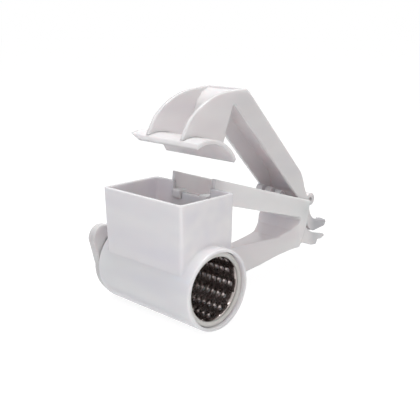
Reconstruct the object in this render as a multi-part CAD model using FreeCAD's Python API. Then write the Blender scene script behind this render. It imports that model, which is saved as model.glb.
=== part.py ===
"""Rotary cabbage shredder, hand cranked: hopper and barrel, D handle, press arm, grating drum and crank.

Frame, in millimetres: the origin lies on the drum axis, in the middle plane of hopper and handle. +X
runs along the drum axis and out of its open mouth, +Y from the hopper to the handle's rear end, +Z up.
Side outlines are drawn in the YZ plane and pushed along X; those of the handle's rear end, the press
arm and the tails are (y, z) steps from the hinge. The arm is raised, as while the hopper is filled.
"""
import FreeCAD, Part
import math
import os

V = FreeCAD.Vector

# ---------------------------------------------------------------- driving dimensions
# clearances
RUNNING = 0.05          # a shaft turning in its hole, per side
FREE = 0.4              # moving pieces that only pass each other
SNUG = 0.05             # a piece pushed into a pocket of its own body, per side

# drum
SHEET_RADIUS = 24.4     # outside of the rolled sheet
SHEET = 0.5
RING_WALL = 1.9         # plastic of the mouth ring round the sheet
RING_LIP = 1.5          # how far the ring's lip reaches in from the sheet's outside
LIP_DEPTH = 1.0
LIP_FALL = 0.8          # the ring's face falls this far from its outer to its inner edge
RING_BEVEL = 0.5
MOUTH_RECESS = 2.5      # the drum's mouth stands this far inside the barrel's
SHEET_GRIP = 3.0        # how deep the sheet sits in the ring and in the drum's end
DRUM_DISC = 3.0
HUB_RADIUS = 9.0
HUB_FACE = 2.5          # floor of the square socket
SOCKET = 10.0           # across the flats of the square drive
SOCKET_DEPTH = 11.5
TOOTH_PITCH = 5.9       # along the drum
TOOTH_ROWS = 16
TOOTH_LENGTH = 6.4      # round the drum
TOOTH_WIDTH = 3.8
TOOTH_RISE = 0.5
TOOTH_TAPER = 0.78      # a tooth's top against its foot
TOOTH_HOLE = 0.62       # its hole against its foot
TOOTH_SLOPE = 6.0       # degrees by which a tooth's top leans, so that one edge cuts
TOOTH_NIP = 0.15        # how much of its height the lean takes off in the middle
BARE = 2.0              # plain band between the outermost teeth and the rings

# hopper and barrel
BARREL_WALL = 2.3
BARREL_MOUTH = 49.2     # X of the open end
BARREL_CLOSED = -46.4   # X of the other end's outer face
END_WALL = 2.5
END_BORE = 11.0
END_ROUND = 1.2
MOUTH_ROUND = 0.9
HOPPER_HALF = 40.3      # outer half width along X, at the rim
SHOULDER_FRONT = 2.8    # the barrel swells out this far below the hopper's front wall
SHOULDER_BACK = 4.2     # and below its back wall
HOPPER_TOP = 62.3
HOPPER_WALL = 2.3
HOPPER_CORNER = 2.4     # outer radius of the upright corners
DRAFT = math.radians(0.94)
RIM_ROUND = 0.7
SEAM_ROUND = 1.2        # fillet where the hopper's walls run into the barrel
NOTCH_FLOOR = 54.6      # height of the notch that lets the press arm in

# crank
CAP_STEP = 1.5          # the cap is this much smaller in radius than the barrel
CAP_DEPTH = 6.5
CAP_WALL = 2.2
CAP_ROUND = 2.0
CAP_GAP = 0.5           # between the barrel's end and the cap
SPOKES = 3              # ribs across the cap's hollow back
SPOKE = 1.8
BOSS_RADIUS = 15.5
BOSS_DEPTH = 4.0
LOBE_OUT = 3.5          # the lobe's centre stands this far outside the cap's radius
LOBE_RADIUS = 9.3
CRANK_ANGLE = 135.0     # from +Y towards +Z, at rest
KNOB_IN = 1.5           # the knob's axis stands this far inside the cap's radius
KNOB_BASE = 5.0
KNOB_TIP = 7.4
KNOB_LENGTH = 9.5
KNOB_ROUND = 3.0
PIN_RADIUS = 2.0
PIN_HEAD = 3.4
PIN_HEAD_DEPTH = 1.2

# hinge of the press arm
HINGE = (133.0, 25.0)
CLOSING = 30.6          # degrees from raised to closed
BOSS = 5.6
SWING = 1.2             # room round the boss in the handle
HINGE_PIN = 2.0
PIN_SEAT = 2.0          # how deep the pin sits in each side wall

# clip over the hinge pin
SADDLE = 2.0            # its thickness round the pin
CLIP_PLATE = 2.0
CLIP_REACH = 27.0       # its front edge, ahead of the hinge
CLIP_HALF = 12.6
FINGERS = 3
FINGER_FIRST = -15.2    # X of the first finger's outer side
FINGER_WIDTH = 6.0
FINGER_PITCH = 8.7
FINGER_BACK = 17.0      # the first finger's tip, ahead of the hinge
FINGER_RISE = 5.2       # its height over the handle's upper edge
FINGER_DROP = 0.9       # how much lower each next finger is
FINGER_EDGE = [(-2.5, -0.8), (0.0, 0.0), (1.5, -1.2), (4.0, -3.2)]
FINGER_FOOT = 6.5       # how far the foot reaches ahead of the wedge's front edge

# handle
HANDLE_HALF = 22.0
HANDLE_WALL = 3.0
HANDLE_FRONT = 0.2      # upper front corner of the side walls, behind the hopper's back face
HANDLE_ROUND = 0.8
ROOT = 11.6             # height at which the handle's front leaves the barrel
TOP_SLOPE = -0.3163
TOP_REAR = (6.1, 8.1)
REAR = [(1.4, -11.8), (-3.2, -21.9), (-7.9, -29.2)]
BELLY = [(-19.5, -33.0), (-42.0, -39.5), (-100.0, -51.8)]
BELLY_END = 284.0       # angle on the barrel where the lower beam runs out
GAP_FRONT = 3.0         # thickness of the wall between hopper and finger gap
GAP_SLOPE = -0.2997
GAP_TOP = (-10.7, -2.8)
GAP_BEND = [(-7.2, -4.2), (-6.7, -7.1)]
GAP_LOW = [(-14.3, -14.0), (-25.0, -18.8), (-33.0, -19.1)]
BEAM_HALF = 4.6         # lower beam's half width at the barrel
BEAM_CURVE = [(-8.5, 22.0), (-19.4, 15.5), (-38.4, 10.0), (-60.0, 5.6)]
HOOK_HALF = 18.0        # outer end of the two hooks that clip over the notch
HOOK_WIDTH = 8.0
HOOK = 1.9              # thickness of a hook
HOOK_REACH = 4.5        # how far it comes down inside the hopper
HOOK_ROOT = 4.0         # how far it is joined to the wall behind the hopper

# press arm
ARM_WALL = 2.8
ARM_ROUND = 1.8
PAD_GAP = 1.8           # between the teeth and the closed pad
PAD_THICK = 2.6
PAD_HALF = 35.0
PAD_LIP = 135.0         # angle where its curve starts, raised; the hopper's front wall trims it shorter
PAD_HEEL = 24.0         # angle of its rear edge
HEEL_LEAN = 3.0
# three points of the slanted face under its front corner
PAD_BEVEL = [(-20.0, -7.0, 94.5), (-33.5, -7.0, 99.4), (-35.0, 2.0, 97.6)]
FIN = [(-138.0, 74.8), (-120.0, 94.2), (-90.0, 103.8)]
FIN_TOP = (-80.0, 105.0)
CROWN = [(-71.0, 104.6), (-67.6, 101.7)]
BACK = [(-3.6, 33.9), (0.6, 25.2), (3.0, 15.8)]
HEEL = (5.2, 11.5)
TAIL_NECK = (6.9, 2.0)
LIP = (-7.5, 13.3)
THROAT = [(-82.4, 92.8), (-84.7, 94.4), (-87.1, 92.8)]
FIN_REAR = (-97.8, 65.0)
CHANNEL_TOP = [(-85.4, 92.0), (-83.5, 96.5), (-77.5, 99.9), (-70.8, 99.9)]
CHANNEL_BACK = [(-6.0, 31.7), (-2.4, 24.6), (-0.2, 16.6)]
CHANNEL_OPEN = [(1.6, 13.2), (3.2, 4.0), (1.0, -13.0), (-23.0, -10.0), (-93.0, 75.0), (-90.6, 83.0)]
WEB_FRONT = [(-76.5, 103.9), (-84.2, 100.2), (-89.7, 93.6)]
WEB_FOOT = (-101.0, 62.0)
FIN_SPACE = [(-163.0, 65.0), (-163.0, 125.0), (-76.0, 125.0)]    # what lies between the fins, up to the web

# tails behind the hinge
TAIL_HALF = 17.0
TAIL_RING = (10.0, 8.0)
TAIL_RADIUS = 5.2
TAIL_HOLE = 2.0
UPPER_STEM = [(6.8, 2.5), (11.2, 3.0), (13.0, -6.0), (16.7, -9.8)]
UPPER_TIP = [
    (21.2, -12.0), (27.0, -13.2), (34.5, -14.5), (35.5, -17.0), (33.4, -19.9), (24.6, -20.7), (17.4, -21.3)]
UPPER_ROOT = [(10.4, -16.2), (8.0, -9.0)]
LOWER_STEM = [(-3.0, -14.5), (4.2, -15.4), (8.2, -16.6), (12.4, -20.3), (17.5, -22.8)]
LOWER_TIP = [
    (24.9, -25.1), (32.3, -26.9), (34.0, -29.1), (29.6, -30.9), (23.8, -30.4), (23.2, -33.0), (21.8, -34.2),
    (15.3, -33.7)]
LOWER_ROOT = [(8.0, -29.6), (1.0, -29.0), (-6.0, -28.0)]
SCALLOP_PLACE = 30.0    # axis of the hollow between a tail's two points, behind the hinge
SCALLOP_RADIUS = 13.6
GRIP_START = (26.0, -13.7)
GRIP_STEP = (3.0, -0.5)
GRIP_RIB = [(0.5, 1.8), (2.0, -0.3)]

# what follows from the driving dimensions
AXIS = (0.0, 0.0)
RING_RADIUS = SHEET_RADIUS + RING_WALL
MOUTH_RADIUS = SHEET_RADIUS - RING_LIP
TOOTH_RADIUS = SHEET_RADIUS + TOOTH_RISE
BARREL_BORE = RING_RADIUS + FREE
BARREL_RADIUS = BARREL_BORE + BARREL_WALL
HOPPER_FRONT = BARREL_RADIUS - SHOULDER_FRONT
HOPPER_BACK = BARREL_RADIUS - SHOULDER_BACK
INNER_END = BARREL_CLOSED + END_WALL
DRUM_MOUTH = BARREL_MOUTH - MOUTH_RECESS
DRUM_FLOOR = INNER_END + FREE
CAP_RADIUS = BARREL_RADIUS - CAP_STEP
CAP_NEAR = BARREL_CLOSED - CAP_GAP
CAP_FAR = CAP_NEAR - CAP_DEPTH
CHANNEL_HALF = HANDLE_HALF - HANDLE_WALL
ARM_HALF = CHANNEL_HALF - FREE
ARM_INSIDE = ARM_HALF - ARM_WALL
PAD_RADIUS = TOOTH_RADIUS + PAD_GAP
FLOOR = HANDLE_WALL / math.cos(math.atan(GAP_SLOPE))


# ---------------------------------------------------------------- helpers
def near(*steps):
    """Points that lie (y, z) steps from the hinge."""
    return [(HINGE[0] + y, HINGE[1] + z) for y, z in steps]


def turn(point, degrees, centre):
    """A (y, z) point turned about a centre, positive from +Y towards +Z."""
    a = math.radians(degrees)
    y, z = point[0] - centre[0], point[1] - centre[1]
    return (centre[0] + y * math.cos(a) - z * math.sin(a), centre[1] + y * math.sin(a) + z * math.cos(a))


def polar(centre, radius, degrees):
    """The (y, z) point at a radius and an angle from +Y."""
    a = math.radians(degrees)
    return (centre[0] + radius * math.cos(a), centre[1] + radius * math.sin(a))


def edges_of(start, steps, place):
    """Lines and arcs from point to point; a step is a point, or (middle, end) of an arc."""
    edges = []
    here = start
    for step in steps:
        arc = isinstance(step[0], tuple)
        end = step[1] if arc else step
        if arc:
            edges.append(Part.Arc(place(here), place(step[0]), place(end)).toShape())
        elif math.dist(here, end) > 1e-6:
            edges.append(Part.LineSegment(place(here), place(end)).toShape())
        here = end
    return edges


def slab(half, start, *steps):
    """A closed (y, z) outline pushed across the middle plane, half to each side."""
    edges = edges_of(start, steps + (start,), lambda p: V(-half, p[0], p[1]))
    return Part.Face(Part.Wire(edges)).extrude(V(2 * half, 0, 0))


def turned(start, *steps, centre=AXIS):
    """A solid of revolution about X from a closed (x, radius) outline."""
    edges = edges_of(start, steps + (start,), lambda p: V(p[0], 0, p[1]))
    solid = Part.Face(Part.Wire(edges)).revolve(V(0, 0, 0), V(1, 0, 0), 360)
    solid.translate(V(0, *centre))
    return solid


def rounded(corner, before, after, radius):
    """Steps round a square corner: its start, then the arc to its end."""
    bulge = radius * (1 - math.sqrt(0.5))
    start = (corner[0] + radius * before[0], corner[1] + radius * before[1])
    middle = (corner[0] + bulge * (before[0] + after[0]), corner[1] + bulge * (before[1] + after[1]))
    end = (corner[0] + radius * after[0], corner[1] + radius * after[1])
    return start, (middle, end)


def rod(radius, x0, x1, centre=AXIS):
    """A cylinder along X about a (y, z) centre."""
    return Part.makeCylinder(radius, x1 - x0, V(x0, *centre), V(1, 0, 0))


def crossbar(radius, half, centre):
    """A cylinder along X, half to each side of the middle plane."""
    return rod(radius, -half, half, centre)


def middle_of(edge):
    """The point halfway along an edge."""
    return edge.valueAt((edge.FirstParameter + edge.LastParameter) / 2)


def at_side(edge, half):
    """Whether an edge lies in one of the two side planes."""
    points = [vertex.Point for vertex in edge.Vertexes] + [middle_of(edge)]
    return all(abs(abs(p.x) - half) < 0.01 for p in points)


def beside(edge, point):
    """Whether the middle of an edge lies beside a (y, z) point."""
    middle = middle_of(edge)
    return math.dist((middle.y, middle.z), point) < 1.0


def hopper_lean(z):
    """How far the drafted hopper has drawn in at a height."""
    return (HOPPER_TOP - z) * math.tan(DRAFT)


def frustum(z0, z1, inset, corner):
    """The hopper's drafted block between two heights, its walls moved in by inset."""
    low, high = hopper_lean(z0) + inset, hopper_lean(z1) + inset
    block = Part.makeWedge(
        low - HOPPER_HALF, z0, low - HOPPER_BACK, high - HOPPER_BACK, high - HOPPER_HALF,
        HOPPER_HALF - low, z1, HOPPER_FRONT - low, HOPPER_FRONT - high, HOPPER_HALF - high)
    block.rotate(V(0, 0, 0), V(1, 0, 0), 90)
    upright = [e for e in block.Edges if abs(e.tangentAt(e.FirstParameter).z) > 0.9]
    return block.makeFillet(corner, upright)


def top_line(y):
    """Height of the handle's upper edge."""
    rear = near(TOP_REAR)[0]
    return rear[1] + TOP_SLOPE * (y - rear[0])


def gap_line(y):
    """Height of the finger gap's upper edge."""
    rear = near(GAP_TOP)[0]
    return rear[1] + GAP_SLOPE * (y - rear[0])


def channel_floor(y):
    """Height of the floor between the handle's side walls."""
    return gap_line(y) + FLOOR


# ---------------------------------------------------------------- hopper and barrel
def hopper_body():
    """The hopper and barrel's outer form, still solid, with a fillet where they meet."""
    barrel = turned(
        (BARREL_CLOSED, 0.0), *rounded((BARREL_CLOSED, BARREL_RADIUS), (0, -1), (1, 0), END_ROUND),
        *rounded((BARREL_MOUTH, BARREL_RADIUS), (-1, 0), (0, -1), MOUTH_ROUND), (BARREL_MOUTH, 0.0))
    body = frustum(0.0, HOPPER_TOP, 0.0, HOPPER_CORNER).fuse(barrel).removeSplitter()
    seam = []
    for edge in body.Edges:
        points = [vertex.Point for vertex in edge.Vertexes] + [middle_of(edge)]
        if all(abs(math.hypot(p.y, p.z) - BARREL_RADIUS) < 1e-3 and abs(p.x) <= HOPPER_HALF for p in points):
            seam.append(edge)
    return body.makeFillet(SEAM_ROUND, seam)


def hopper_housing():
    """Hopper on the barrel: one moulding, open on top, at the drum's mouth and at the notch."""
    body = hopper_body()
    body = body.cut(rod(BARREL_BORE, INNER_END, BARREL_MOUTH + 1))
    body = body.cut(rod(END_BORE, BARREL_CLOSED - 1, INNER_END + 1))
    body = body.cut(frustum(0.0, HOPPER_TOP + 1, HOPPER_WALL, HOPPER_CORNER / 2))
    rim = [e for e in body.Edges if abs(e.BoundBox.ZMin - HOPPER_TOP) < 0.05]
    body = body.makeFillet(RIM_ROUND, rim)
    inside = HOPPER_BACK - 2 * HOPPER_WALL
    notch = Part.makeBox(
        2 * CHANNEL_HALF, HOPPER_BACK - inside + 1, HOPPER_TOP, V(-CHANNEL_HALF, inside, NOTCH_FLOOR))
    return body.cut(notch)


# ---------------------------------------------------------------- handle
def beam_side():
    """What lies beside the lower beam in plan, on the +X side."""
    plan = [V(half, y, 0) for (y, _), (_, half) in zip(near(*BEAM_CURVE), BEAM_CURVE)]
    front = HOPPER_BACK + GAP_FRONT
    plan.append(V(BEAM_HALF, (front + plan[-1].y) / 2, 0))
    curve = Part.BSplineCurve()
    curve.interpolate(plan)
    outer = HANDLE_HALF + 5
    border = [plan[-1], V(BEAM_HALF, 0, 0), V(outer, 0, 0), V(outer, plan[0].y, 0), plan[0]]
    wire = Part.Wire([curve.toShape()] + Part.makePolygon(border).Edges)
    return Part.Face(wire)


def beam_cutters():
    """The two volumes that leave the lower beam between them, under the finger gap and below."""
    side = beam_side()
    deep = 2 * BARREL_RADIUS
    below = side.extrude(V(0, 0, deep))
    below.translate(V(0, 0, -deep))
    beside = side.extrude(V(0, 0, near(GAP_BEND[1])[0][1] - FREE))
    beside = beside.cut(Part.makeBox(2 * HOPPER_HALF, HOPPER_BACK + GAP_FRONT, deep, V(0, 0, -FREE)))
    right = [below, beside]
    return right + [cutter.mirror(V(0, 0, 0), V(1, 0, 0)) for cutter in right]


def hooks():
    """Two hooks that reach over the notch's floor and clip inside the hopper's back wall."""
    inside = HOPPER_BACK - HOPPER_WALL - hopper_lean(NOTCH_FLOOR - HOOK_REACH)
    depth = HOPPER_BACK + GAP_FRONT - inside + HOOK
    pair = []
    for side in (-1, 1):
        x = side * (HOOK_HALF - HOOK_WIDTH / 2) - HOOK_WIDTH / 2
        over = Part.makeBox(HOOK_WIDTH, depth, HOOK, V(x, inside - HOOK, NOTCH_FLOOR))
        down = Part.makeBox(
            HOOK_WIDTH, HOOK, HOOK_REACH + HOOK, V(x, inside - HOOK, NOTCH_FLOOR - HOOK_REACH))
        behind = Part.makeBox(
            HOOK_WIDTH, GAP_FRONT, HOOK + HOOK_ROOT, V(x, HOPPER_BACK, NOTCH_FLOOR - HOOK_ROOT))
        hook = over.fuse([down, behind]).removeSplitter()
        nose = [e for e in hook.Edges if abs(e.tangentAt(0).x) > 0.9 and e.BoundBox.YMax < inside]
        pair.append(hook.makeFillet(HOOK * 0.45, nose))
    return pair


def handle():
    """D handle: an open channel above the finger gap and a beam below it that narrows to the barrel."""
    front = HOPPER_BACK + HANDLE_FRONT
    gap_front = HOPPER_BACK + GAP_FRONT
    inside = HOPPER_BACK - HOPPER_WALL
    rim_end = HOPPER_BACK - RIM_ROUND       # the rim's level face stays free of the handle
    solid = slab(
        HANDLE_HALF, (front, top_line(front)), *near(TOP_REAR, *REAR, *BELLY),
        polar(AXIS, BARREL_RADIUS - SNUG, BELLY_END), (ROOT, 0.0), (inside, ROOT), (rim_end, HOPPER_TOP))
    gap_top, low = near(GAP_TOP)[0], near(*GAP_LOW)
    gap = slab(
        HANDLE_HALF + 1, (gap_front, gap_line(gap_front)), gap_top, tuple(near(*GAP_BEND)), *low,
        (gap_front, low[-1][1]))
    seat = HINGE[0] - BOSS - SWING
    sky = 2 * HOPPER_TOP
    channel = slab(
        CHANNEL_HALF, (0.0, channel_floor(0.0)), (seat, channel_floor(seat)), (seat, sky), (0.0, sky))
    well = slab(
        CHANNEL_HALF, (seat, channel_floor(seat)),
        *near((0.0, -BOSS - SWING), (2 * TAIL_HALF, -BOSS - SWING)),
        (HINGE[0] + 2 * TAIL_HALF, sky), (seat, sky))
    solid = solid.cut([gap, channel, well, crossbar(BOSS + SWING, CHANNEL_HALF, HINGE)] + beam_cutters())
    solid = round_handle(solid)
    solid = solid.cut(hopper_body())
    solid = solid.fuse(hooks() + [lower_tail()])
    solid = solid.cut(crossbar(HINGE_PIN, CHANNEL_HALF + PIN_SEAT, HINGE))
    return solid.removeSplitter()


def follows(edge, half, line):
    """Whether an edge lies in a side plane with its ends on a sloping line."""
    return at_side(edge, half) and all(abs(v.Point.z - line(v.Point.y)) < 0.01 for v in edge.Vertexes)


def round_handle(solid):
    """The handle with the edges rounded that a hand closes on."""
    beam = [e for e in solid.Edges if e.Curve.TypeId == "Part::GeomBSplineCurve" and abs(middle_of(e).z) > 1]
    solid = solid.makeFillet(HANDLE_ROUND, beam)
    upper, lower = near(TOP_REAR, REAR[0])
    corners = [near(GAP_BEND[0])[0], ((upper[0] + lower[0]) / 2, (upper[1] + lower[1]) / 2)]
    grip = [e for e in solid.Edges
            if follows(e, HANDLE_HALF, top_line) or follows(e, CHANNEL_HALF, top_line)
            or follows(e, HANDLE_HALF, gap_line)
            or at_side(e, HANDLE_HALF) and any(beside(e, corner) for corner in corners)]
    return solid.makeFillet(HANDLE_ROUND, grip)


def scallop():
    """The hollow that gives a tail its two-pointed end."""
    foot = V(0, HINGE[0] + SCALLOP_PLACE, -HOPPER_TOP)
    return Part.makeCylinder(SCALLOP_RADIUS, 2 * HOPPER_TOP, foot, V(0, 0, 1))


def lower_tail():
    """Finger tail under the hinge, part of the handle."""
    stem, tip, root = near(*LOWER_STEM), near(*LOWER_TIP), near(*LOWER_ROOT)
    tail = slab(TAIL_HALF, *stem[:3], tuple(stem[3:]), *tip, tuple(root[:2]), root[2])
    return tail.cut(scallop())


def hinge_pin():
    """Steel pin that the arm swings on, its ends in blind holes of the handle's side walls."""
    return crossbar(HINGE_PIN, CHANNEL_HALF + PIN_SEAT, HINGE)


def clip_finger(number):
    """One of the clip's upright wedges, which stand just above the channel."""
    y = HINGE[0] - FINGER_BACK + number
    tip = top_line(y) + FINGER_RISE - FINGER_DROP * number
    side = [(y + dy, tip + dz) for dy, dz in FINGER_EDGE]
    first, last = side[0][0] - FINGER_FOOT, side[-1][0] + SNUG
    foot = (first, channel_floor(first))
    outline = [foot] + side + [(last, channel_floor(last)), foot]
    x = FINGER_FIRST + FINGER_PITCH * number
    wedge = Part.Face(Part.makePolygon([V(x, *point) for point in outline]))
    return wedge.extrude(V(FINGER_WIDTH, 0, 0))


def hinge_clip():
    """Clip over the hinge pin, lying on the channel's floor."""
    front, rear = HINGE[0] - CLIP_REACH, HINGE[0] - BOSS - SWING
    base = slab(
        CLIP_HALF, (front, channel_floor(front)), (front, channel_floor(front) + CLIP_PLATE),
        (rear, channel_floor(rear) + CLIP_PLATE), (rear, channel_floor(rear)))
    link = slab(
        CLIP_HALF, (rear - 1, channel_floor(rear - 1)), (rear - 1, channel_floor(rear - 1) + CLIP_PLATE),
        *near((0.0, HINGE_PIN + SADDLE), (0.0, 0.0)), (rear, channel_floor(rear)))
    saddle = crossbar(HINGE_PIN + SADDLE, CLIP_HALF, HINGE)
    clip = base.fuse([saddle, link] + [clip_finger(number) for number in range(FINGERS)])
    return clip.cut(crossbar(HINGE_PIN, CLIP_HALF, HINGE)).removeSplitter()


# ---------------------------------------------------------------- press arm
def pad_centre():
    """Where the pad's centre of curvature stands while the arm is raised."""
    return turn(AXIS, -CLOSING, HINGE)


def closing_room():
    """The space round the hinge that clears the hopper's front wall as the arm closes."""
    lean = hopper_lean(HINGE[1]) + HOPPER_WALL
    return crossbar(HINGE[0] + HOPPER_FRONT - lean - 2 * FREE, PAD_HALF, HINGE)


def arm_blank():
    """The arm's outer form, with its fins and back rounded."""
    foot, rise, join = near(*FIN)
    crown_top, crown_end = near(*CROWN)
    blank = slab(
        ARM_HALF, foot, (rise, join), (near(FIN_TOP)[0], crown_top), crown_end, *near(BACK[0]),
        tuple(near(*BACK[1:])), *near(HEEL, TAIL_RING, TAIL_NECK), polar(HINGE, BOSS, 10),
        (polar(HINGE, BOSS, 285), polar(HINGE, BOSS, 200)), polar(HINGE, BOSS, 165),
        *near(LIP, THROAT[0]), tuple(near(*THROAT[1:])), *near(FIN_REAR))
    back_start, back_bend = near(BACK[0], BACK[1])
    outer = [rise, near(FIN_TOP)[0], ((crown_top[0] + crown_end[0]) / 2, (crown_top[1] + crown_end[1]) / 2),
             ((crown_end[0] + back_start[0]) / 2, (crown_end[1] + back_start[1]) / 2), back_bend]
    edges = [e for e in blank.Edges if at_side(e, ARM_HALF) and any(beside(e, point) for point in outer)]
    return blank.makeFillet(ARM_ROUND, edges).common(closing_room())


def upper_tail():
    """Finger tail behind the hinge, with two grip ribs, part of the press arm."""
    stem, root = near(*UPPER_STEM), near(*UPPER_ROOT)
    tail = slab(TAIL_HALF, *stem[:2], tuple(stem[2:]), *near(*UPPER_TIP), tuple(root))
    ribs = []
    for number in range(2):
        y, z = near(GRIP_START)[0]
        y, z = y + number * GRIP_STEP[0], z + number * GRIP_STEP[1]
        ribs.append(slab(TAIL_HALF, (y, z), *[(y + dy, z + dz) for dy, dz in GRIP_RIB]))
    return tail.fuse(ribs).cut(scallop())


def press_arm():
    """Channel-shaped lever with two curved fins, a web between them and a tail."""
    top, back = near(*CHANNEL_TOP), near(*CHANNEL_BACK)
    inside = slab(
        ARM_INSIDE, top[0], tuple(top[1:3]), top[3], back[0], tuple(back[1:]), *near(*CHANNEL_OPEN))
    web = near(*WEB_FRONT)
    between = slab(ARM_INSIDE, *near(*FIN_SPACE), web[0], tuple(web[1:]), *near(WEB_FOOT))
    solid = arm_blank().cut([inside, between, crossbar(HINGE_PIN + SADDLE + FREE, ARM_INSIDE, HINGE)])
    cheek = rod(BOSS, ARM_INSIDE - ARM_WALL, ARM_HALF, HINGE)
    ring = near(TAIL_RING)[0]
    solid = solid.fuse([
        upper_tail(), crossbar(TAIL_RADIUS, ARM_HALF, ring), cheek, cheek.mirror(V(0, 0, 0), V(1, 0, 0))])
    solid = solid.cut([
        crossbar(TAIL_HOLE, HANDLE_HALF, ring), crossbar(HINGE_PIN + RUNNING, HANDLE_HALF, HINGE),
        crossbar(PAD_RADIUS + PAD_THICK, PAD_HALF, pad_centre())])
    return solid.removeSplitter()


def press_pad():
    """Curved presser plate, round the drum axis when the arm is closed."""
    centre = pad_centre()
    inner, outer = PAD_RADIUS, PAD_RADIUS + PAD_THICK
    middle = (PAD_LIP + PAD_HEEL) / 2
    pad = slab(
        PAD_HALF, polar(centre, inner, PAD_LIP), polar(centre, outer, PAD_LIP),
        (polar(centre, outer, middle), polar(centre, outer, PAD_HEEL + HEEL_LEAN)),
        polar(centre, inner, PAD_HEEL), (polar(centre, inner, middle), polar(centre, inner, PAD_LIP)))
    return pad.common(closing_room()).cut(pad_bevel())


def pad_bevel():
    """What the slanted face takes off below the pad's front corner on the crank's side."""
    lip, tip, side = [V(x, y, z) for x, y, z in PAD_BEVEL]
    along, out = lip - side, tip - lip
    near_end, far_end = lip + along, side - along
    face = Part.Face(Part.makePolygon([near_end, near_end + out * 2, far_end + out * 2, far_end, near_end]))
    return face.extrude(V(0, 0, -PAD_RADIUS))


# ---------------------------------------------------------------- drum
def drum_rim():
    """Plastic ring round the drum's mouth; the sheet is pushed in from behind."""
    shoulder = DRUM_MOUTH - LIP_DEPTH - LIP_FALL
    foot = shoulder - SHEET_GRIP
    return turned(
        (DRUM_MOUTH - LIP_FALL, MOUTH_RADIUS),
        ((DRUM_MOUTH - LIP_FALL / 4, (MOUTH_RADIUS + SHEET_RADIUS) / 2), (DRUM_MOUTH, SHEET_RADIUS)),
        (DRUM_MOUTH, RING_RADIUS - RING_BEVEL), (DRUM_MOUTH - RING_BEVEL, RING_RADIUS), (foot, RING_RADIUS),
        (foot, SHEET_RADIUS), (shoulder, SHEET_RADIUS), (shoulder, MOUTH_RADIUS))


def drum_end():
    """Drum's closed end: disc, collar for the sheet, journal through the barrel's end and square socket."""
    x0 = BARREL_CLOSED - CAP_GAP / 2
    x1 = DRUM_FLOOR + DRUM_DISC
    hub = BARREL_CLOSED + SOCKET_DEPTH + HUB_FACE
    journal = END_BORE - RUNNING
    solid = turned(
        (x0, 0.0), (x0, journal), (DRUM_FLOOR, journal), (DRUM_FLOOR, RING_RADIUS),
        (x1 + SHEET_GRIP, RING_RADIUS), (x1 + SHEET_GRIP, SHEET_RADIUS), (x1, SHEET_RADIUS), (x1, HUB_RADIUS),
        *rounded((hub, HUB_RADIUS), (-1, 0), (0, -1), HUB_FACE / 2), (hub, 0.0))
    socket = Part.makeBox(SOCKET_DEPTH + 1, SOCKET, SOCKET, V(BARREL_CLOSED - 1, -SOCKET / 2, -SOCKET / 2))
    return solid.cut(socket)


def hexagon(scale, z):
    """A six-sided outline, longer round the drum than along it, at a height over the drum axis."""
    points = [V(scale * TOOTH_WIDTH / 2 * x, scale * TOOTH_LENGTH / 2 * y, z)
              for x, y in ((0, 1), (1, 0.4), (1, -0.4), (0, -1), (-1, -0.4), (-1, 0.4), (0, 1))]
    return Part.makePolygon(points)


def drum_sheet():
    """Rolled stainless sheet with rows of raised cutting teeth, each open through its hole."""
    x0, x1 = DRUM_FLOOR + DRUM_DISC, DRUM_MOUTH - LIP_DEPTH - LIP_FALL
    inner = SHEET_RADIUS - SHEET
    tooth = Part.makeLoft([hexagon(1.0, inner), hexagon(TOOTH_TAPER, TOOTH_RADIUS)], True, True)
    slope = Part.makeBox(
        4 * TOOTH_WIDTH, 4 * TOOTH_LENGTH, TOOTH_LENGTH, V(-2 * TOOTH_WIDTH, -2 * TOOTH_LENGTH, 0))
    slope.rotate(V(0, 0, 0), V(1, 0, 0), -TOOTH_SLOPE)
    slope.translate(V(0, 0, TOOTH_RADIUS - TOOTH_NIP))
    tooth = tooth.cut(slope)
    hole = Part.Face(hexagon(TOOTH_HOLE, inner - TOOTH_RISE)).extrude(V(0, 0, 4 * TOOTH_RISE))
    span = x1 - x0 - 2 * (SHEET_GRIP + BARE) - TOOTH_WIDTH
    columns = int(span / TOOTH_PITCH)
    start = (x0 + x1) / 2 - (columns - 0.5) * TOOTH_PITCH / 2
    teeth, holes = [], []
    for row in range(TOOTH_ROWS):
        lift = FreeCAD.Rotation(V(1, 0, 0), 360.0 * row / TOOTH_ROWS)
        for column in range(columns):
            place = FreeCAD.Placement(V(start + (column + row % 2 * 0.5) * TOOTH_PITCH, 0, 0), lift)
            teeth.append(tooth.transformed(place.toMatrix()))
            holes.append(hole.transformed(place.toMatrix()))
    sheet = rod(SHEET_RADIUS, x0, x1).fuse(teeth)
    return sheet.cut([rod(inner, x0 - 1, x1 + 1)] + holes)


# ---------------------------------------------------------------- crank
def knob_axis():
    """(y, z) of the knob's axis."""
    return polar(AXIS, CAP_RADIUS - KNOB_IN, CRANK_ANGLE)


def crank_lobe():
    """The ear beside the cap that carries the knob."""
    flank = CAP_RADIUS - CAP_ROUND
    throw = CAP_RADIUS + LOBE_OUT
    centre = polar(AXIS, throw, CRANK_ANGLE)
    spread = math.degrees(math.acos((flank - LOBE_RADIUS) / throw))
    left, right = CRANK_ANGLE + spread, CRANK_ANGLE - spread
    outline = edges_of(
        AXIS,
        [polar(AXIS, flank, left), polar(centre, LOBE_RADIUS, left),
         (polar(centre, LOBE_RADIUS, CRANK_ANGLE), polar(centre, LOBE_RADIUS, right)),
         polar(AXIS, flank, right), AXIS], lambda p: V(CAP_FAR, p[0], p[1]))
    return Part.Face(Part.Wire(outline)).extrude(V(CAP_DEPTH - CAP_GAP, 0, 0))


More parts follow.
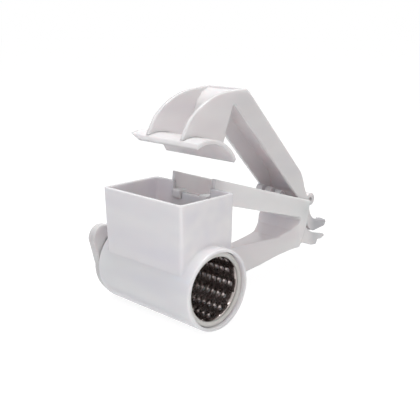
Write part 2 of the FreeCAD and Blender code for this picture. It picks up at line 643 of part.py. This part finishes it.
def crank():
    """Cap over the barrel's end with a lobe for the knob, a hollow back and a square drive spigot."""
    cap = turned(
        (CAP_NEAR, 0.0), (CAP_NEAR, CAP_RADIUS), *rounded((CAP_FAR, CAP_RADIUS), (1, 0), (0, -1), CAP_ROUND),
        (CAP_FAR, BOSS_RADIUS), *rounded((CAP_FAR - BOSS_DEPTH, BOSS_RADIUS), (1, 0), (0, -1), CAP_ROUND),
        (CAP_FAR - BOSS_DEPTH, 0.0))
    knob = knob_axis()
    hollow = rod(CAP_RADIUS - CAP_WALL, CAP_FAR + CAP_WALL, CAP_NEAR + 1)
    hollow = hollow.cut([rod(HUB_RADIUS, CAP_FAR, CAP_NEAR + 2), rod(PIN_HEAD, CAP_FAR, CAP_NEAR + 2, knob)])
    for step in range(SPOKES):
        spoke = Part.makeBox(CAP_DEPTH, 2 * CAP_RADIUS, SPOKE, V(CAP_FAR, -CAP_RADIUS, -SPOKE / 2))
        spoke.rotate(V(0, 0, 0), V(1, 0, 0), CRANK_ANGLE + 180 / SPOKES * step)
        hollow = hollow.cut(spoke)
    side = SOCKET - 2 * SNUG
    spigot = Part.makeBox(SOCKET_DEPTH - 1 + CAP_GAP, side, side, V(CAP_NEAR, -side / 2, -side / 2))
    body = cap.fuse(crank_lobe()).cut(hollow).fuse(spigot)
    return body.cut(rod(PIN_RADIUS, CAP_FAR - 1, CAP_NEAR + 1, knob)).removeSplitter()


def crank_knob():
    """Flared finger knob that turns on the pin."""
    base = CAP_FAR - FREE
    end = base - KNOB_LENGTH
    floor = end + PIN_HEAD_DEPTH + FREE
    waist = (KNOB_BASE + KNOB_TIP) / 2 - FREE
    bore = PIN_RADIUS + RUNNING
    well = PIN_HEAD + FREE
    return turned(
        (base, bore), (base, KNOB_BASE), ((base - KNOB_LENGTH / 3, waist), (end + KNOB_ROUND, KNOB_TIP)),
        ((end + KNOB_ROUND / 4, KNOB_TIP - KNOB_ROUND / 3), (end, KNOB_TIP - KNOB_ROUND)),
        (end, well), (floor, well), (floor, bore), centre=knob_axis())


def knob_pin():
    """Headed steel pin, fixed in the crank's lobe."""
    end = CAP_FAR - FREE - KNOB_LENGTH
    root = CAP_NEAR - CAP_GAP
    return turned(
        (end, 0.0), (end, PIN_HEAD), (end + PIN_HEAD_DEPTH, PIN_HEAD), (end + PIN_HEAD_DEPTH, PIN_RADIUS),
        (root, PIN_RADIUS), (root, 0.0), centre=knob_axis())


def main():
    """Build every piece and write one STEP file each."""
    os.makedirs("parts", exist_ok=True)
    for make in (hopper_housing, handle, hinge_pin, hinge_clip, press_arm, press_pad,
                 drum_rim, drum_end, drum_sheet, crank, crank_knob, knob_pin):
        shape = make()
        shape.exportStep("parts/" + make.__name__ + ".step")
        box = shape.BoundBox
        print("%-15s solids %d valid %s volume %.0f  x %.1f..%.1f  y %.1f..%.1f  z %.1f..%.1f" % (
            make.__name__, len(shape.Solids), shape.isValid(), shape.Volume,
            box.XMin, box.XMax, box.YMin, box.YMax, box.ZMin, box.ZMax))


main()
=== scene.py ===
# %% [markdown]
# A hand-cranked cabbage shredder is mostly glossy white ABS: a square hopper on a barrel, a D handle and
# a hinged press arm. The steel drum inside the barrel is the only dark part. The rigid pieces come from
# the CAD frame at their real size, so this script gives them their finishes, makes the drum's punched
# sheet as a fine mesh, and sets the light and the camera.

# %% Load the frame
import math

import bpy
from mathutils import Matrix, Vector


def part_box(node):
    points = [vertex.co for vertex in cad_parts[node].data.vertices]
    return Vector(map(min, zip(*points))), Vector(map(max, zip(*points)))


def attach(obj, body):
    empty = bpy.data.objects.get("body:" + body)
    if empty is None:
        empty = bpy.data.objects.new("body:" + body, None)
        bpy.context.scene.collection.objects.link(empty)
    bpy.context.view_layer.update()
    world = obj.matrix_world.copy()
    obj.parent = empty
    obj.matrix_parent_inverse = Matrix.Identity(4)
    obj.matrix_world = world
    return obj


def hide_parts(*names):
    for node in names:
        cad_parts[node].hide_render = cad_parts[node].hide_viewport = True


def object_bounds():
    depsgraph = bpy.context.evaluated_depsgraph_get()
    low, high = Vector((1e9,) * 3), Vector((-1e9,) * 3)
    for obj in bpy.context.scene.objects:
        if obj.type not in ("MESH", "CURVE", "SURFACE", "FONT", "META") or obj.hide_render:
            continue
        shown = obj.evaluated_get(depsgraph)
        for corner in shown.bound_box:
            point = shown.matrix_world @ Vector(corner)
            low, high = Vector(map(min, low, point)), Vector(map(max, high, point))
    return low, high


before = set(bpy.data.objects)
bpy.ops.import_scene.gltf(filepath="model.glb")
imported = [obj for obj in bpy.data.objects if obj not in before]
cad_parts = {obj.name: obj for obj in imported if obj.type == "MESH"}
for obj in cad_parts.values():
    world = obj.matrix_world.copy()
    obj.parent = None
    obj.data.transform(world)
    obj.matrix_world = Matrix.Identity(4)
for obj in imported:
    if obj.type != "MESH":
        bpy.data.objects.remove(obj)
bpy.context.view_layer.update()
MM = 0.001

# %% [markdown]
# Colours are easiest to judge as sRGB hex values, as a paint card gives them, but a renderer works with
# linear light. One function turns one into the other, and every colour below goes through it.


# %% Colour helper
def linear(hex_colour):
    """Linear RGBA of an sRGB hex value such as "#EDEDF0"."""
    channels = [int(hex_colour[i:i + 2], 16) / 255 for i in (1, 3, 5)]
    return [c / 12.92 if c <= 0.04045 else ((c + 0.055) / 1.055) ** 2.4 for c in channels] + [1.0]


WHITE = linear("#FFFFFF")
print("mid grey in linear light: %.3f" % linear("#808080")[0])

# %% [markdown]
# A material is a graph of nodes. Building it in code means adding a node, setting what stays fixed and
# linking what varies. One helper does all three, so each material below reads as a list of its nodes.
# Blender's noise counts its waves in a metre, so another helper works a pattern's scale out from the real
# size of its features.


# %% Node helpers
def add_node(material, kind, inputs=None, **settings):
    """Add one shader node; an input is a plain value or another node's output socket."""
    node = material.node_tree.nodes.new(kind)
    for name, value in settings.items():
        setattr(node, name, value)
    for name, value in (inputs or {}).items():
        if isinstance(value, bpy.types.NodeSocket):
            material.node_tree.links.new(value, node.inputs[name])
        else:
            node.inputs[name].default_value = value
    return node


def new_material(name):
    """An empty node material and its output node."""
    material = bpy.data.materials.new(name)
    material.use_nodes = True
    material.node_tree.nodes.clear()
    return material, add_node(material, "ShaderNodeOutputMaterial")


def waves_per_metre(size_mm):
    """Noise scale for features of a real size, in millimetres."""
    return 1 / (size_mm * MM)


print("waves in a metre for 18 mm features: %.1f" % waves_per_metre(18))

# %% [markdown]
# ABS is the usual plastic of white kitchen tools. It is injection moulded in a polished steel mould,
# which gives a gloss with small faults. The skin sinks a little where it shrinks as it cools, so
# reflections wander. The melt cools as it flows, which leaves faint streaks of a bluer white: along X in
# the barrel and the hopper, and along Y in the handle and the arm, which were filled from one end.
# Handling leaves patches that shine a little less. One noise, stretched along the flow, drives the
# streaks and the patches, so a dull patch is also a slightly different white, as on the real thing.
#
# The white has a trace of red, which hardly shows on an open face but adds up inside the hopper and the
# arm, where light bounces several times. Light also wanders a few millimetres inside the plastic, so
# thin walls glow a little and shadows stay soft: that is the Subsurface input. The finger tails behind
# the hinge get painted shade: they go greyer along Y. A bevel node rounds each sharp edge in the shading,
# by the small radius that every moulding has.

# %% Measures of moulded ABS
ABS_IOR = 1.54
SINK_SIZE = 18.0        # millimetres from one shrink hollow to the next
SINK_DEPTH = 0.3        # millimetres at full strength
SMUDGE_SIZE = 16.0      # millimetres
SMUDGE_DULLS = 0.06     # how much rougher a handled patch is
FLOW_STRETCH = 5.0      # hollows and smudges are this much longer along the flow
FLOW_ALONG_BARREL = (1 / FLOW_STRETCH, 1.0, 1.0)
FLOW_ALONG_HANDLE = (1.0, 1 / FLOW_STRETCH, 1.0)
EDGE_RADIUS = 1.5       # millimetres
EDGE_SAMPLES = 8
GLOW_SHARE = 0.8        # share of the light that wanders inside before it comes back
GLOW_DEPTH = 4.5        # how far it wanders, millimetres
GLOW_REACH = (1.0, 0.88, 0.88)  # red wanders further than green and blue
SHADE_TAILS_FROM = 143.0       # the painted shade of the tails starts this far behind the drum axis, millimetres
SHADE_TAILS_TO = 152.0         # and is full from here on
print("flow streaks: %.0f mm long, %.0f mm wide" % (SMUDGE_SIZE * FLOW_STRETCH, SMUDGE_SIZE))

# %% [markdown]
# Two helpers build what differs from plain plastic. The first is the colour. Noise rarely comes near 0 or
# 1, so a Map Range node stretches its middle over the two whites, and another one turns the place along Y
# into the painted shade of the tails. The second helper is the surface: a noise is the height of the
# shrink hollows, and a Bump node adds it to the rounded edges.

# %% Ranges of a noise
NOISE_CORE = {"From Min": 0.3, "From Max": 0.7}     # most of a noise lies in here
NOISE_SPAN = {"From Min": 0.2, "From Max": 0.8}     # nearly all of it does
print("middle of a noise: %.1f to %.1f" % tuple(NOISE_CORE.values()))


# %% Streaks, scuffs and hollows
def drifting_white_with_shaded_tails(material, place, smudge, hex_colour, hex_shade, hex_tail_shade):
    """Colour of a moulding: two whites that drift, and a greyer painted shade on the tails."""
    drift = add_node(material, "ShaderNodeMapRange", {"Value": smudge, **NOISE_CORE})
    tone = add_node(material, "ShaderNodeMix", {
        "Factor": drift.outputs["Result"], "A": linear(hex_colour), "B": linear(hex_shade)},
        data_type="RGBA")
    along = add_node(material, "ShaderNodeSeparateXYZ", {"Vector": place})
    # Painted shade: the tails behind the hinge go greyer along Y.
    tails_darkened = add_node(material, "ShaderNodeMapRange", {
        "Value": along.outputs["Y"], "From Min": SHADE_TAILS_FROM * MM, "From Max": SHADE_TAILS_TO * MM})
    colour = add_node(material, "ShaderNodeMix", {
        "Factor": tails_darkened.outputs["Result"], "A": tone.outputs["Result"], "B": linear(hex_tail_shade)},
        data_type="RGBA")
    return colour.outputs["Result"]


def hollowed_skin(material, flow, sink, edge_radius):
    """Normal of a moulding: rounded edges and shallow shrink hollows."""
    hollow = add_node(material, "ShaderNodeTexNoise", {
        "Vector": flow, "Scale": waves_per_metre(SINK_SIZE), "Detail": 0.0})
    edge = add_node(material, "ShaderNodeBevel", {"Radius": edge_radius * MM}, samples=EDGE_SAMPLES)
    bump = add_node(material, "ShaderNodeBump", {
        "Height": hollow.outputs["Fac"], "Strength": sink, "Distance": SINK_DEPTH * MM,
        "Normal": edge.outputs["Normal"]})
    return bump.outputs["Normal"]


print("shrink hollows: %.0f mm apart, up to %.1f mm deep" % (SINK_SIZE, SINK_DEPTH))

# %% [markdown]
# The material itself is one Principled shader, the same graph for every moulding. One smudge noise feeds
# both the colour and the roughness. The subsurface inputs and the IOR are plain numbers on the shader.


# %% Glossy ABS
def moulded_abs(name, hex_colour, hex_shade, hex_tail_shade, gloss, sink,
                flow_scale=FLOW_ALONG_BARREL, edge_radius=EDGE_RADIUS):
    """Injection-moulded ABS: two tones that drift, gloss broken by smudges, and painted shade on the
    tails.
    """
    material, output = new_material(name)
    place = add_node(material, "ShaderNodeTexCoord").outputs["Object"]
    flow = add_node(material, "ShaderNodeMapping", {
        "Vector": place, "Scale": flow_scale}).outputs["Vector"]
    smudge = add_node(material, "ShaderNodeTexNoise", {
        "Vector": flow, "Scale": waves_per_metre(SMUDGE_SIZE), "Detail": 1.0}).outputs["Fac"]
    rough = add_node(material, "ShaderNodeMapRange", {
        "Value": smudge, **NOISE_SPAN, "To Min": gloss, "To Max": gloss + SMUDGE_DULLS})
    colour = drifting_white_with_shaded_tails(material, place, smudge, hex_colour, hex_shade, hex_tail_shade)
    skin = add_node(material, "ShaderNodeBsdfPrincipled", {
        "Base Color": colour, "Roughness": rough.outputs["Result"],
        "Normal": hollowed_skin(material, flow, sink, edge_radius), "IOR": ABS_IOR,
        "Subsurface Weight": GLOW_SHARE, "Subsurface Radius": GLOW_REACH,
        "Subsurface Scale": GLOW_DEPTH * MM})
    material.node_tree.links.new(skin.outputs["BSDF"], output.inputs["Surface"])
    return material


print("ABS: IOR %.2f, light wanders %.1f mm inside" % (ABS_IOR, GLOW_DEPTH))

# %% [markdown]
# The handle, the press arm and the crank get copies of the hopper's white ABS with whites of their own:
# the handle's is painted lighter, as painted light, and the arm's and the crank's are painted darker, as
# painted shade. The drum's ring is off-white and duller, because it is scrubbed often. The clip is
# nylon, which is milkier and has sharper edges. The three colours are the clean tone, the streaks and the
# painted shade of the tails. The numbers are the roughness of the cleanest spots, where polished ABS is at
# 0.1 to 0.2, and the strength of the shrink hollows.

# %% The mouldings' whites
WHITE_ABS = moulded_abs("glossy_white_abs", "#F8F4F5", "#ECE9EF", "#DCDCDE", 0.12, 0.9)
# Painted light: the handle's white is a lighter copy of the hopper's.
HANDLE_ABS_PAINTED_LIGHT = moulded_abs("handle_white_abs_painted_light", "#FAF5F5", "#F2EEF0", "#DFDFE1", 0.12, 0.9,
                         FLOW_ALONG_HANDLE)
# Painted shade: the press arm's white is a darker copy, and its tails take the darkest painted shade.
ARM_ABS_PAINTED_SHADE = moulded_abs("press_arm_white_abs_painted_shade", "#EFECEC", "#E9E6E8", "#C4C4C8", 0.14, 0.7,
                      FLOW_ALONG_HANDLE)
# Painted shade: the crank's white is a darker copy.
CRANK_ABS_PAINTED_SHADE = moulded_abs("crank_white_abs_painted_shade", "#DFDDDC", "#D5D3D4", "#D5D3D4", 0.16, 0.9)
RING_ABS = moulded_abs("drum_ring_off_white_abs", "#DEDCD8", "#D4D1CC", "#D4D1CC", 0.3, 0.3)
CLIP_NYLON = moulded_abs("milky_nylon", "#F3F1F2", "#E6E4E7", "#E6E4E7", 0.2, 0.3, edge_radius=0.3)
MOULDINGS = (WHITE_ABS, HANDLE_ABS_PAINTED_LIGHT, ARM_ABS_PAINTED_SHADE, CRANK_ABS_PAINTED_SHADE, RING_ABS, CLIP_NYLON)
print("mouldings:", ", ".join(material.name for material in MOULDINGS))

# %% [markdown]
# The drum is rolled from thin 18/8 stainless sheet. The coil's rolling leaves fine scratches along one
# direction, so highlights stretch across them. Inside the barrel hardly any light falls on it, and the
# metal mirrors its own dark hollow, so it looks nearly black with bright sparks on the rims of the holes.
# Real scratches are some hundredths of a millimetre wide, too fine to show, so they are drawn coarser.

# %% Stainless steel
SCRATCH_SIZE = 0.35     # millimetres across a scratch, drawn coarser than the real ones
SCRATCH_STRETCH = (0.06, 1.0, 1.0)  # scratches run far along X
SCRATCH_DEPTH = 0.02    # millimetres at full strength
SCRATCH_DULLS = 0.16    # how much rougher the steel is in a scratch


def rolled_steel(name, hex_colour, roughness, brush):
    """Rolled or ground steel with scratches drawn out along X."""
    material, output = new_material(name)
    place = add_node(material, "ShaderNodeTexCoord").outputs["Object"]
    drawn_out = add_node(material, "ShaderNodeMapping", {"Vector": place, "Scale": SCRATCH_STRETCH})
    scratch = add_node(material, "ShaderNodeTexNoise", {
        "Vector": drawn_out.outputs["Vector"], "Scale": waves_per_metre(SCRATCH_SIZE), "Detail": 4.0})
    rough = add_node(material, "ShaderNodeMapRange", {
        "Value": scratch.outputs["Fac"], **NOISE_CORE,
        "To Min": roughness, "To Max": roughness + SCRATCH_DULLS})
    bump = add_node(material, "ShaderNodeBump", {
        "Height": scratch.outputs["Fac"], "Strength": brush, "Distance": SCRATCH_DEPTH * MM})
    metal = add_node(material, "ShaderNodeBsdfPrincipled", {
        "Base Color": linear(hex_colour), "Metallic": 1.0, "Roughness": rough.outputs["Result"],
        "Normal": bump.outputs["Normal"]})
    material.node_tree.links.new(metal.outputs["BSDF"], output.inputs["Surface"])
    return material


SHEET_STEEL = rolled_steel("rolled_stainless_sheet", "#B4ACA9", 0.1, 0.5)
PIN_STEEL = rolled_steel("ground_steel_pin", "#A9A9AB", 0.26, 0.3)
print("metals:", SHEET_STEEL.name, PIN_STEEL.name)

# %% [markdown]
# The CAD nodes already have the right shape, so they only need their finish. A material could be put on
# the mesh or on the object. The object's own slot is used here, because that leaves the mesh as it was.

# %% Give the CAD nodes their finishes
FINISHES = {
    "hopper_housing": WHITE_ABS,
    "handle": HANDLE_ABS_PAINTED_LIGHT,
    "crank": CRANK_ABS_PAINTED_SHADE,
    "crank_knob": CRANK_ABS_PAINTED_SHADE,
    "press_arm": ARM_ABS_PAINTED_SHADE,
    "press_pad": ARM_ABS_PAINTED_SHADE,
    "drum_rim": RING_ABS,
    "drum_end": RING_ABS,
    "hinge_clip": CLIP_NYLON,
    "drum_sheet": SHEET_STEEL,
    "hinge_pin": PIN_STEEL,
    "knob_pin": PIN_STEEL,
}


def give_finish(node_object, material):
    """Put one material on every slot of an object."""
    if not node_object.material_slots:
        node_object.data.materials.append(material)
    for slot in node_object.material_slots:
        slot.link = "OBJECT"
        slot.material = material


for node_name, finish in FINISHES.items():
    give_finish(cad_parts[node_name], finish)
print("finished nodes:", len(FINISHES))

# %% [markdown]
# The drum's sheet is punched from inside, so that each hole has a raised rim on the outside that cuts.
# Boolean cuts would make hundreds of holes slowly and leave ragged faces. Instead the sheet is one flat
# strip of equal cells, each with an oval hole and its rim, and every point of it is wrapped round the drum
# axis. Every second row is moved by half a pitch, as a press does it to keep the sheet strong.

# %% Sizes of the punched sheet
SHEET_LOW, SHEET_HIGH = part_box("drum_sheet")
SHEET_OUTER = 24.4 * MM         # radius of the sheet's outside
SHEET_THICK = 0.5 * MM
BARE_END = 4.6 * MM             # unpunched sheet at each end
HOLE_ROWS = 16
HOLE_COLUMNS = 14
HOLE_TILT = math.radians(24)    # the ovals lean along the drum
PITCH_ARC = 2 * math.pi * SHEET_OUTER / HOLE_ROWS
PITCH_X = (SHEET_HIGH[0] - SHEET_LOW[0] - 2 * BARE_END) / (HOLE_COLUMNS + 0.5)
RIM_RISE = 1.25 * MM
RIM_LEVEL = 0.62                # height of a rim's middle, as a share of its highest side
RIM_LEAN = 0.38                 # how much one side stands higher and the other lower
FOOT_HALF = (2.3, 3.2)          # half axes along the drum and round it, millimetres
HOLE_HALF = (1.0, 1.6)
# The half axes of each loop round a hole, and its share of the rim's height.
RIM_RINGS = [(FOOT_HALF, 0.0), ((1.9, 2.7), 0.5), ((1.4, 2.1), 0.9), (HOLE_HALF, 1.0)]
SIDE_STEPS = 4                  # points on one side of a cell
EDGE_STEPS = 4 * SIDE_STEPS     # points all round it
DECIMALS = 3                    # points that agree to a thousandth are one point
print("pitch along the drum %.2f mm, round it %.2f mm" % (PITCH_X / MM, PITCH_ARC / MM))

# %% [markdown]
# Three small functions say where a point goes. A cell's edge has points at the quarters of its sides, so
# that neighbours share them even where a row is moved by half a pitch. An oval has one point for each
# point of the edge, in the same direction from the middle, which keeps the faces between them even.


# %% Points of a cell
def sheet_point(x, arc, rise):
    """A point of the flat strip, wrapped round the drum axis."""
    radius = SHEET_OUTER + rise
    angle = arc / SHEET_OUTER
    return Vector((x, radius * math.cos(angle), radius * math.sin(angle)))


def cell_edge(step):
    """One of the points on a cell's rectangular edge, as offsets from its middle."""
    side, quarter = divmod(step, SIDE_STEPS)
    along = quarter / SIDE_STEPS - 0.5
    corner = [(along, -0.5), (0.5, along), (-along, 0.5), (-0.5, -along)][side]
    return corner[0] * PITCH_X, corner[1] * PITCH_ARC


def oval_point(dx, darc, half):
    """The point of a tilted oval that lies the same way from the middle as a cell's edge point."""
    angle = math.atan2(darc / PITCH_ARC, dx / PITCH_X)
    u, v = half[0] * MM * math.cos(angle), half[1] * MM * math.sin(angle)
    return (u * math.cos(HOLE_TILT) - v * math.sin(HOLE_TILT),
            u * math.sin(HOLE_TILT) + v * math.cos(HOLE_TILT))


print("a cell's first corner: %.2f, %.2f mm" % tuple(offset / MM for offset in cell_edge(0)))

# %% [markdown]
# Each cell is a stack of loops, from its edge over the rim's foot and slope to the lip of the hole, with
# quads between neighbouring loops. The lip leans, so that one side of each hole cuts. A strip of plain
# quads joins the outermost cells to the sheet's ends.


# %% Loops and faces of a cell
def cell_loops(middle_x, middle_arc, vertex):
    """Vertex loops of one cell, from its rectangular edge to the lip of its hole."""
    loops = [[] for _ in range(len(RIM_RINGS) + 1)]
    for step in range(EDGE_STEPS):
        dx, darc = cell_edge(step)
        loops[0].append(vertex(middle_x + dx, middle_arc + darc, 0.0))
        for loop, (half, share) in zip(loops[1:], RIM_RINGS):
            u, v = oval_point(dx, darc, half)
            slant = RIM_LEVEL + RIM_LEAN * math.sin(math.atan2(v, u))
            loop.append(vertex(middle_x + u, middle_arc + v, share * slant * RIM_RISE))
    return loops


def loop_faces(loops):
    """Quads between each pair of neighbouring loops."""
    faces = []
    for outer, inner in zip(loops, loops[1:]):
        for step in range(EDGE_STEPS):
            after = (step + 1) % EDGE_STEPS
            faces.append((outer[step], outer[after], inner[after], inner[step]))
    return faces


def end_faces(row, vertex):
    """Plain quads of one row, from its outermost cells to the sheet's two ends."""
    faces = []
    shift = row % 2 / 2
    for end, columns in ((SHEET_LOW[0], shift), (SHEET_HIGH[0], HOLE_COLUMNS + shift)):
        near_x = SHEET_LOW[0] + BARE_END + columns * PITCH_X
        for quarter in range(SIDE_STEPS):
            a = (row + quarter / SIDE_STEPS) * PITCH_ARC
            b = (row + (quarter + 1) / SIDE_STEPS) * PITCH_ARC
            strip = [vertex(end, a, 0.0), vertex(near_x, a, 0.0),
                     vertex(near_x, b, 0.0), vertex(end, b, 0.0)]
            faces.append(strip if end < near_x else strip[::-1])
    return faces


print("points in one cell:", EDGE_STEPS * (len(RIM_RINGS) + 1))

# %% [markdown]
# The mesh asks for its points by place. A point that is already known isn't made again, so the cells and
# the seam, where the last row meets the first, are joined without a merge step.


# %% Punched drum sheet
def punched_sheet():
    """Mesh of the rolled sheet with its raised oval holes."""
    points, faces, known = [], [], {}

    def vertex(x, arc, rise):
        """Number of the point at a place, which is made if it is new."""
        turn = round(arc / PITCH_ARC * 10 ** DECIMALS) % (HOLE_ROWS * 10 ** DECIMALS)
        key = (round(x / MM, DECIMALS), turn, round(rise / MM, DECIMALS))
        if key not in known:
            known[key] = len(points)
            points.append(sheet_point(x, arc, rise))
        return known[key]

    for row in range(HOLE_ROWS):
        for column in range(HOLE_COLUMNS):
            middle_x = SHEET_LOW[0] + BARE_END + (column + 0.5 + row % 2 / 2) * PITCH_X
            faces += loop_faces(cell_loops(middle_x, (row + 0.5) * PITCH_ARC, vertex))
    for row in range(HOLE_ROWS):
        faces += end_faces(row, vertex)
    mesh = bpy.data.meshes.new("punched_drum_sheet")
    mesh.from_pydata(points, [], faces)
    mesh.validate()
    mesh.shade_smooth()
    return mesh


sheet_mesh = punched_sheet()
print("punched sheet: %d points, %d faces" % (len(sheet_mesh.vertices), len(sheet_mesh.polygons)))

# %% [markdown]
# The piece rides on the drum and stands for the plain CAD node, which is hidden. A Solidify modifier gives
# it its thickness, inwards, so that its outside stays where the points are.

# %% Put the sheet on the drum
sheet_mesh.materials.append(SHEET_STEEL)
drum_sheet = bpy.data.objects.new("punched_drum_sheet", sheet_mesh)
bpy.context.scene.collection.objects.link(drum_sheet)
thickness = drum_sheet.modifiers.new("thickness", "SOLIDIFY")
thickness.thickness = SHEET_THICK
thickness.offset = -1.0
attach(drum_sheet, "drum")
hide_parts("drum_sheet")
print("the drum's sheet is %.1f mm thick" % (SHEET_THICK / MM))

# %% [markdown]
# The tool stands in a white light tent, on white paper. Both could be real objects that catch lamp light,
# but then the background would be white only with so much light that the tool burns out. So the dome and
# the paper ask which kind of ray arrives. Camera and mirror rays see white, and so would rays through
# glass. The rays that light the tool see a dimmer dome and real paper.


# %% Rays that see the background
def sees_background(material):
    """1 for a camera, mirror or glass ray, and 0 for a ray that lights the tool."""
    path = add_node(material, "ShaderNodeLightPath")
    seen = path.outputs["Is Camera Ray"]
    for kind in ("Is Glossy Ray", "Is Transmission Ray"):
        either = add_node(material, "ShaderNodeMath", {0: seen, 1: path.outputs[kind]},
                          operation="MAXIMUM")
        seen = either.outputs[0]
    return seen


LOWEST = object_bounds()[0][2]
print("the tool's lowest point: %.1f mm" % (LOWEST / MM))

# %% [markdown]
# The paper that lights the tool is a pale diffuse sheet, lifted a little as if the lamps lit it from the
# sides too. The paper that is seen glows almost white by itself and keeps a grey diffuse part, so it still
# takes the tool's soft shadow.

# %% Paper
PAPER_TONE = "#D8D8D8"
LIFT_TONE = "#ECEDF2"
FLOOR_LIFT = 0.05       # emission strength
SHADOW_TONE = "#8A8A8A"
SEEN_GLOW = 0.89        # with the light on its grey part, the seen paper comes to white


def white_paper():
    """Paper that lights the tool like paper and is seen as white with a shadow."""
    material, output = new_material("white_paper")
    paper = add_node(material, "ShaderNodeBsdfDiffuse", {"Color": linear(PAPER_TONE)})
    lift = add_node(material, "ShaderNodeEmission", {
        "Color": linear(LIFT_TONE), "Strength": FLOOR_LIFT})
    bounce = add_node(material, "ShaderNodeAddShader", {0: paper.outputs[0], 1: lift.outputs[0]})
    shadow = add_node(material, "ShaderNodeBsdfDiffuse", {"Color": linear(SHADOW_TONE)})
    glow = add_node(material, "ShaderNodeEmission", {"Color": WHITE, "Strength": SEEN_GLOW})
    backdrop = add_node(material, "ShaderNodeAddShader", {0: shadow.outputs[0], 1: glow.outputs[0]})
    mix = add_node(material, "ShaderNodeMixShader", {
        0: sees_background(material), 1: bounce.outputs[0], 2: backdrop.outputs[0]})
    material.node_tree.links.new(mix.outputs[0], output.inputs["Surface"])
    return material


print("paper tone in linear light: %.3f" % linear(PAPER_TONE)[0])

# %% [markdown]
# The floor is one large face just under the tool.

# %% Floor
FLOOR_HALF = 6.0        # metres
FLOOR_GAP = 0.2         # millimetres under the tool, so that the faces don't flicker


def paper_floor():
    """A large white sheet under the tool."""
    mesh = bpy.data.meshes.new("paper_floor")
    height = LOWEST - FLOOR_GAP * MM
    corners = [(-1, -1), (1, -1), (1, 1), (-1, 1)]
    mesh.from_pydata([(x * FLOOR_HALF, y * FLOOR_HALF, height) for x, y in corners], [], [(0, 1, 2, 3)])
    mesh.materials.append(white_paper())
    floor = bpy.data.objects.new("paper_floor", mesh)
    bpy.context.scene.collection.objects.link(floor)


paper_floor()
print("floor at %.1f mm" % (LOWEST / MM))

# %% [markdown]
# The dome is the world, so it needs no mesh and lights evenly from all sides. Standard is the view
# transform that shows a colour as it is written, without a film curve.

# %% World
DOME_TONE = "#F8F7F6"
DOME_STRENGTH = 0.47


def light_dome():
    """World that lights evenly and shows plain white to the camera and to reflections."""
    world = bpy.data.worlds.new("light_tent")
    bpy.context.scene.world = world
    world.use_nodes = True
    world.node_tree.nodes.clear()
    output = add_node(world, "ShaderNodeOutputWorld")
    soft = add_node(world, "ShaderNodeBackground", {
        "Color": linear(DOME_TONE), "Strength": DOME_STRENGTH})
    white = add_node(world, "ShaderNodeBackground", {"Color": WHITE, "Strength": 1.0})
    mix = add_node(world, "ShaderNodeMixShader", {
        0: sees_background(world), 1: soft.outputs[0], 2: white.outputs[0]})
    world.node_tree.links.new(mix.outputs[0], output.inputs["Surface"])


light_dome()
bpy.context.scene.view_settings.view_transform = "Standard"
print("dome strength:", DOME_STRENGTH)

# %% [markdown]
# Four rectangular lamps shape the white plastic. The large one above gives the bright tops and most of
# the light, the key from the front right lights the hopper's faces and makes its edges shine, a small low
# one fills the drum's mouth, and a long bluish strip from the left cools the barrel. The camera doesn't
# see the lamps themselves. Each line is a place and a size in metres, a power in watts and a colour.

# %% Lamps
AIM = Vector((0.0, 0.04, 0.04))     # the point that all lamps face, metres


def soft_lamp(name, place, width, height, watts, hex_colour):
    """A rectangular area lamp that faces the tool and is not seen itself."""
    data = bpy.data.lights.new(name, "AREA")
    data.shape = "RECTANGLE"
    data.size = width
    data.size_y = height
    data.energy = watts
    data.color = linear(hex_colour)[:3]
    lamp = bpy.data.objects.new(name, data)
    bpy.context.scene.collection.objects.link(lamp)
    lamp.location = place
    lamp.rotation_euler = (AIM - Vector(place)).to_track_quat("-Z", "Y").to_euler()
    lamp.visible_camera = False


soft_lamp("key_softbox", (0.12, -0.35, 0.5), 0.3, 0.1, 0.45, "#FFFAF8")
soft_lamp("top_softbox", (0.0, 0.1, 1.1), 0.5, 0.3, 6.5, "#FFFFFF")
soft_lamp("low_right_softbox", (0.2, -0.1, -0.02), 0.1, 0.06, 0.075, "#FFFFFF")
soft_lamp("left_strip", (-0.45, -0.9, 0.3), 0.6, 0.06, 0.36, "#8CB8FF")

# %% [markdown]
# The camera stands a little above the tool and to the right of its front, about half a metre away, with a
# lens slightly longer than normal, so the barrel's mouth, the hopper and the open handle all show.

# %% Camera
CAMERA_PLACE = Vector((0.35929, -0.32648, 0.17676))     # metres
CAMERA_AZIMUTH = math.radians(44.28)
CAMERA_ELEVATION = math.radians(14.94)
CAMERA_LENS = 60.77     # millimetres, on a full-frame sensor
SENSOR_WIDTH = 36.0     # millimetres
NEAREST_SEEN = 0.01     # metres

camera_data = bpy.data.cameras.new("camera")
camera_data.lens = CAMERA_LENS
camera_data.sensor_width = SENSOR_WIDTH
camera_data.clip_start = NEAREST_SEEN
camera = bpy.data.objects.new("camera", camera_data)
bpy.context.scene.collection.objects.link(camera)
camera.matrix_world = (Matrix.Translation(CAMERA_PLACE) @ Matrix.Rotation(CAMERA_AZIMUTH, 4, "Z")
                       @ Matrix.Rotation(math.pi / 2 - CAMERA_ELEVATION, 4, "X"))
bpy.context.scene.camera = camera
print("camera at", [round(v, 3) for v in CAMERA_PLACE])
